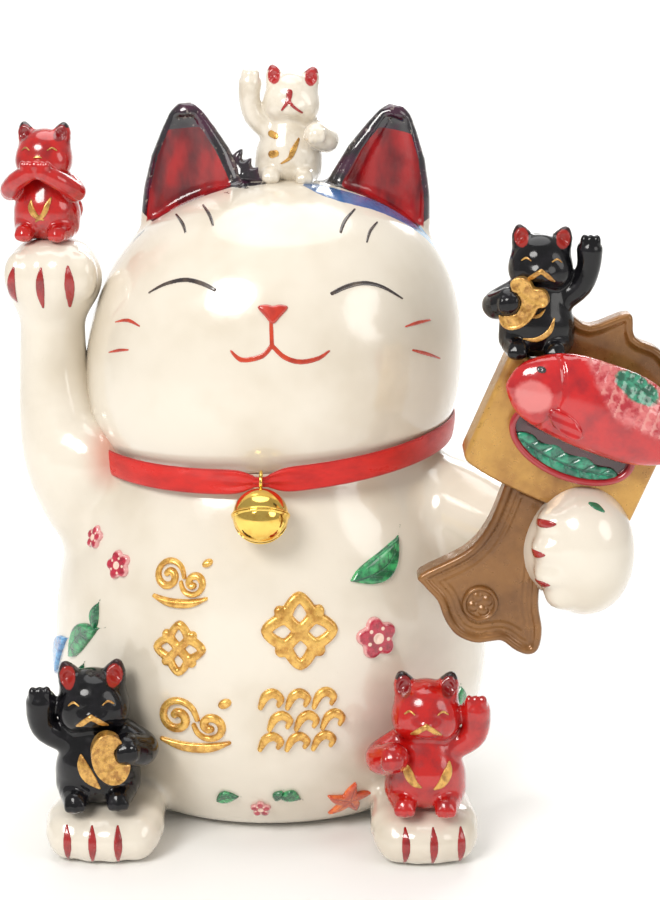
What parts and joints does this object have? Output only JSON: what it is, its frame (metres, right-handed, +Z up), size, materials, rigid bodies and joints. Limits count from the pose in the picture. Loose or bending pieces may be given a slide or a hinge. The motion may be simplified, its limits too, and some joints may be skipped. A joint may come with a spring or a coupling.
{
  "type": "beckoning cat figurine",
  "caption": "Seated ceramic cat coin bank with a raised paw, a gilded charm in the other, small kittens, relief flowers and a ribbon with a bell.",
  "frame": {"origin": "centre of the ring under the foot, on the surface that the cat stands on", "axes": "+Z up; -Y the way the cat faces; +X the cat's left, the side of the charm"},
  "size_m": [0.163, 0.1097, 0.1823],
  "materials": {
    "glaze_white": "glossy ivory glaze",
    "glaze_black": "glossy black glaze round a red hollow",
    "stopper_rubber": "matt",
    "ribbon": "satin weave",
    "bell_brass": "polished",
    "pellet_steel": "plain",
    "gilding": "fired gold lustre",
    "lacquer": "glossy dark red",
    "enamel_red": "glossy red enamel",
    "enamel_black": "glossy black enamel",
    "enamel_crimson": "glossy crimson enamel",
    "enamel_green": "glossy green enamel",
    "enamel_blue": "glossy blue enamel",
    "enamel_orange": "glossy orange enamel"
  },
  "bodies": {
    "figure": {"body_shell": "glaze_white", "head_shell": "glaze_white", "right_ear": "glaze_black", "left_ear": "glaze_black", "raised_right_arm": "glaze_white", "holding_left_arm": "glaze_white", "right_foot": "glaze_white", "left_foot": "glaze_white", "tail": "glaze_white", "ribbon_collar": "ribbon", "ribbon_knot": "ribbon", "charm_block": "gilding", "charm_tail": "gilding", "charm_crest": "gilding", "charm_boss": "gilding", "offering_dish": "lacquer", "dish_leaf": "enamel_green", "sea_bream": "enamel_red", "kitten_on_paw": "enamel_red", "kitten_on_head": "glaze_white", "kitten_on_charm": "enamel_black", "kitten_on_right_foot": "enamel_black", "kitten_on_left_foot": "enamel_red", "koban_on_charm_kitten": "gilding", "koban_on_foot_kitten": "gilding", "gold_relief_right": "gilding", "gold_relief_left": "gilding", "crimson_flowers": "enamel_crimson", "green_leaves": "enamel_green", "blue_leaf": "enamel_blue", "orange_leaf": "enamel_orange"},
    "bell": {"bell_upper_half": "bell_brass", "bell_lower_half": "bell_brass", "bell_loop": "bell_brass"},
    "pellet": {"bell_pellet": "pellet_steel"},
    "stopper": {"base_stopper": "stopper_rubber"}
  },
  "joints": [
    {"name": "bell_swing", "type": "hinge", "parent": "figure", "child": "bell", "pos_m": [-0.0008, -0.03976, 0.09048], "axis": [-1, 0, 0], "range_deg": [0, 55]},
    {"name": "pellet_roll", "type": "hinge", "parent": "bell", "child": "pellet", "pos_m": [-0.0008, -0.04416, 0.08344], "axis": [1, 0, 0], "range_deg": [-70, 70]},
    {"name": "stopper_pull", "type": "slide", "parent": "figure", "child": "stopper", "axis": [0, 0, -1], "range_m": [0, 0.03]}
  ]
}
